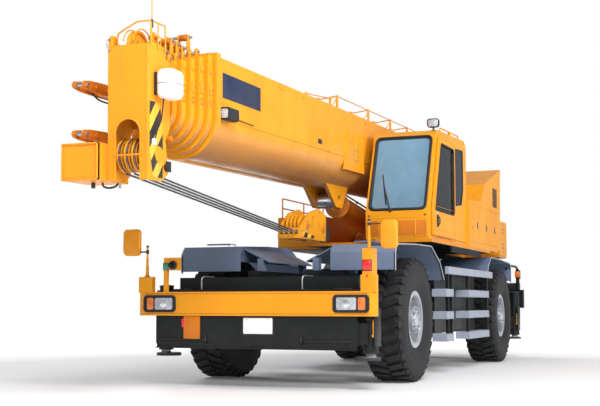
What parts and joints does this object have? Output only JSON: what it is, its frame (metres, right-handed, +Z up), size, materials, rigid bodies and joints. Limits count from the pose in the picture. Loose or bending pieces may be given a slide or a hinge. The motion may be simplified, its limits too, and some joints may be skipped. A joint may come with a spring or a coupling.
{
  "type": "mobile crane",
  "caption": "Two-axle rough-terrain crane with slewing upper, cab, telescopic boom, stowed jib, hook block and outriggers.",
  "frame": {"origin": "on the ground at the middle of the overall length and width", "axes": "+X to the cab's side, +Y to the carrier's rear, +Z up"},
  "size_m": [3.46, 12.6042, 3.8329],
  "materials": {
    "body_yellow": "glossy crane yellow paint",
    "chassis_black": "semi-gloss black chassis paint",
    "step_grey": "grey painted treads",
    "lamp": "clear and coloured lamp lenses in black bezels",
    "mirror_yellow": "yellow mirror shells",
    "engine_iron": "grey cast iron",
    "glass": "tinted safety glass",
    "seat": "dark grey seat cloth and console",
    "rope_steel": "greased steel wire rope",
    "sheave_yellow": "yellow painted sheaves",
    "cylinder_black": "dark painted cylinder",
    "rod_chrome": "chromed piston rod",
    "tyre": "black rubber",
    "rim_silver": "silver painted rim",
    "knuckle_iron": "dark painted casting",
    "jack_steel": "steel jack rod and float"
  },
  "bodies": {
    "carrier": {"carrier_frame": "chassis_black", "carrier_deck": "chassis_black", "wheel_covers": "chassis_black", "outrigger_housings": "chassis_black", "side_boxes": "chassis_black", "side_steps": "step_grey", "engine": "engine_iron", "engine_hood": "chassis_black", "rear_bumper": "chassis_black", "front_bumper": "body_yellow", "axles": "chassis_black", "lamps": "lamp", "mirrors": "mirror_yellow"},
    "upper": {"turntable": "body_yellow", "cab_shell": "body_yellow", "cab_glass": "glass", "cab_seat": "seat", "roof_lamp": "lamp", "left_cover": "body_yellow", "right_cover": "body_yellow", "counterweight": "body_yellow"},
    "door": {"cab_door": "body_yellow", "door_glass": "glass"},
    "drum_main": {"winch_drum_main": "rope_steel"},
    "drum_aux": {"winch_drum_aux": "rope_steel"},
    "boom": {"boom_base": "body_yellow", "boom_lamp": "lamp", "jib": "body_yellow"},
    "tip": {"boom_section_6": "body_yellow", "boom_head": "body_yellow", "head_sheaves": "sheave_yellow", "hoist_ropes": "rope_steel", "hook_block": "body_yellow"},
    "barrel": {"derrick_barrel": "cylinder_black"},
    "rod": {"derrick_rod": "rod_chrome"},
    "section_2": {"boom_section_2": "body_yellow"},
    "section_3": {"boom_section_3": "body_yellow"},
    "section_4": {"boom_section_4": "body_yellow"},
    "section_5": {"boom_section_5": "body_yellow"},
    "steer_front_left": {"knuckle_front_left": "knuckle_iron"},
    "wheel_front_left": {"tyre_front_left": "tyre", "rim_front_left": "rim_silver"},
    "beam_front_left": {"outrigger_beam_front_left": "chassis_black"},
    "jack_front_left": {"jack_front_left": "jack_steel"},
    "steer_front_right": {"knuckle_front_right": "knuckle_iron"},
    "wheel_front_right": {"tyre_front_right": "tyre", "rim_front_right": "rim_silver"},
    "beam_front_right": {"outrigger_beam_front_right": "chassis_black"},
    "jack_front_right": {"jack_front_right": "jack_steel"},
    "steer_rear_left": {"knuckle_rear_left": "knuckle_iron"},
    "wheel_rear_left": {"tyre_rear_left": "tyre", "rim_rear_left": "rim_silver"},
    "beam_rear_left": {"outrigger_beam_rear_left": "chassis_black"},
    "jack_rear_left": {"jack_rear_left": "jack_steel"},
    "steer_rear_right": {"knuckle_rear_right": "knuckle_iron"},
    "wheel_rear_right": {"tyre_rear_right": "tyre", "rim_rear_right": "rim_silver"},
    "beam_rear_right": {"outrigger_beam_rear_right": "chassis_black"},
    "jack_rear_right": {"jack_rear_right": "jack_steel"}
  },
  "joints": [
    {"name": "slew", "type": "hinge", "parent": "carrier", "child": "upper", "pos_m": [0, 1.63, 1.6003], "axis": [0, 0, 1], "continuous": true},
    {"name": "luff", "type": "hinge", "parent": "upper", "child": "boom", "pos_m": [-0.05, 4.15, 3.05], "axis": [-1, 0, 0], "range_deg": [0, 80]},
    {"name": "telescope_2", "type": "slide", "parent": "boom", "child": "section_2", "axis": [0, -0.9998, -0.0209], "range_m": [0, 6.86]},
    {"name": "telescope_3", "type": "slide", "parent": "section_2", "child": "section_3", "axis": [0, -0.9998, -0.0209], "range_m": [0, 6.86]},
    {"name": "telescope_4", "type": "slide", "parent": "section_3", "child": "section_4", "axis": [0, -0.9998, -0.0209], "range_m": [0, 6.86]},
    {"name": "telescope_5", "type": "slide", "parent": "section_4", "child": "section_5", "axis": [0, -0.9998, -0.0209], "range_m": [0, 6.86]},
    {"name": "telescope_6", "type": "slide", "parent": "section_5", "child": "tip", "axis": [0, -0.9998, -0.0209], "range_m": [0, 6.86]},
    {"name": "barrel_swing", "type": "hinge", "parent": "upper", "child": "barrel", "pos_m": [-0.05, 2.6, 2.03], "axis": [-1, 0, 0], "range_deg": [0, 84.27]},
    {"name": "rod_slide", "type": "slide", "parent": "barrel", "child": "rod", "axis": [0, -0.9931, 0.1176], "range_m": [0, 2.3656]},
    {"name": "door_slide", "type": "slide", "parent": "upper", "child": "door", "axis": [0, 1, 0], "range_m": [0, 0.68]},
    {"name": "drum_main_turn", "type": "hinge", "parent": "upper", "child": "drum_main", "pos_m": [-0.05, 5.03, 2.13], "axis": [1, 0, 0], "continuous": true},
    {"name": "drum_aux_turn", "type": "hinge", "parent": "upper", "child": "drum_aux", "pos_m": [-0.05, 4.5, 2.13], "axis": [1, 0, 0], "continuous": true},
    {"name": "steer_front_left", "type": "hinge", "parent": "carrier", "child": "steer_front_left", "pos_m": [0.86, -1.3, 0.78], "axis": [0, 0, 1], "range_deg": [-30, 30]},
    {"name": "roll_front_left", "type": "hinge", "parent": "steer_front_left", "child": "wheel_front_left", "pos_m": [1.195, -1.3, 0.78], "axis": [1, 0, 0], "continuous": true},
    {"name": "steer_front_right", "type": "hinge", "parent": "carrier", "child": "steer_front_right", "pos_m": [-0.86, -1.3, 0.78], "axis": [0, 0, 1], "range_deg": [-30, 30]},
    {"name": "roll_front_right", "type": "hinge", "parent": "steer_front_right", "child": "wheel_front_right", "pos_m": [-1.195, -1.3, 0.78], "axis": [1, 0, 0], "continuous": true},
    {"name": "steer_rear_left", "type": "hinge", "parent": "carrier", "child": "steer_rear_left", "pos_m": [0.86, 4, 0.78], "axis": [0, 0, 1], "range_deg": [-30, 30]},
    {"name": "roll_rear_left", "type": "hinge", "parent": "steer_rear_left", "child": "wheel_rear_left", "pos_m": [1.195, 4, 0.78], "axis": [1, 0, 0], "continuous": true},
    {"name": "steer_rear_right", "type": "hinge", "parent": "carrier", "child": "steer_rear_right", "pos_m": [-0.86, 4, 0.78], "axis": [0, 0, 1], "range_deg": [-30, 30]},
    {"name": "roll_rear_right", "type": "hinge", "parent": "steer_rear_right", "child": "wheel_rear_right", "pos_m": [-1.195, 4, 0.78], "axis": [1, 0, 0], "continuous": true},
    {"name": "beam_slide_front_left", "type": "slide", "parent": "carrier", "child": "beam_front_left", "axis": [1, 0, 0], "range_m": [0, 1.9]},
    {"name": "jack_slide_front_left", "type": "slide", "parent": "beam_front_left", "child": "jack_front_left", "axis": [0, 0, -1], "range_m": [0, 0.5]},
    {"name": "beam_slide_front_right", "type": "slide", "parent": "carrier", "child": "beam_front_right", "axis": [-1, 0, 0], "range_m": [0, 1.9]},
    {"name": "jack_slide_front_right", "type": "slide", "parent": "beam_front_right", "child": "jack_front_right", "axis": [0, 0, -1], "range_m": [0, 0.5]},
    {"name": "beam_slide_rear_left", "type": "slide", "parent": "carrier", "child": "beam_rear_left", "axis": [1, 0, 0], "range_m": [0, 1.9]},
    {"name": "jack_slide_rear_left", "type": "slide", "parent": "beam_rear_left", "child": "jack_rear_left", "axis": [0, 0, -1], "range_m": [0, 0.5]},
    {"name": "beam_slide_rear_right", "type": "slide", "parent": "carrier", "child": "beam_rear_right", "axis": [-1, 0, 0], "range_m": [0, 1.9]},
    {"name": "jack_slide_rear_right", "type": "slide", "parent": "beam_rear_right", "child": "jack_rear_right", "axis": [0, 0, -1], "range_m": [0, 0.5]}
  ],
  "couplings": [
    {"joint": "telescope_3", "follows": "telescope_2", "ratio": 1},
    {"joint": "telescope_4", "follows": "telescope_2", "ratio": 1},
    {"joint": "telescope_5", "follows": "telescope_2", "ratio": 1},
    {"joint": "telescope_6", "follows": "telescope_2", "ratio": 1},
    {"joint": "barrel_swing", "follows": "luff", "ratio": 1.0532},
    {"joint": "rod_slide", "follows": "luff", "m_per_rad": 1.6939},
    {"joint": "steer_front_right", "follows": "steer_front_left", "ratio": 1},
    {"joint": "steer_rear_right", "follows": "steer_rear_left", "ratio": 1}
  ]
}
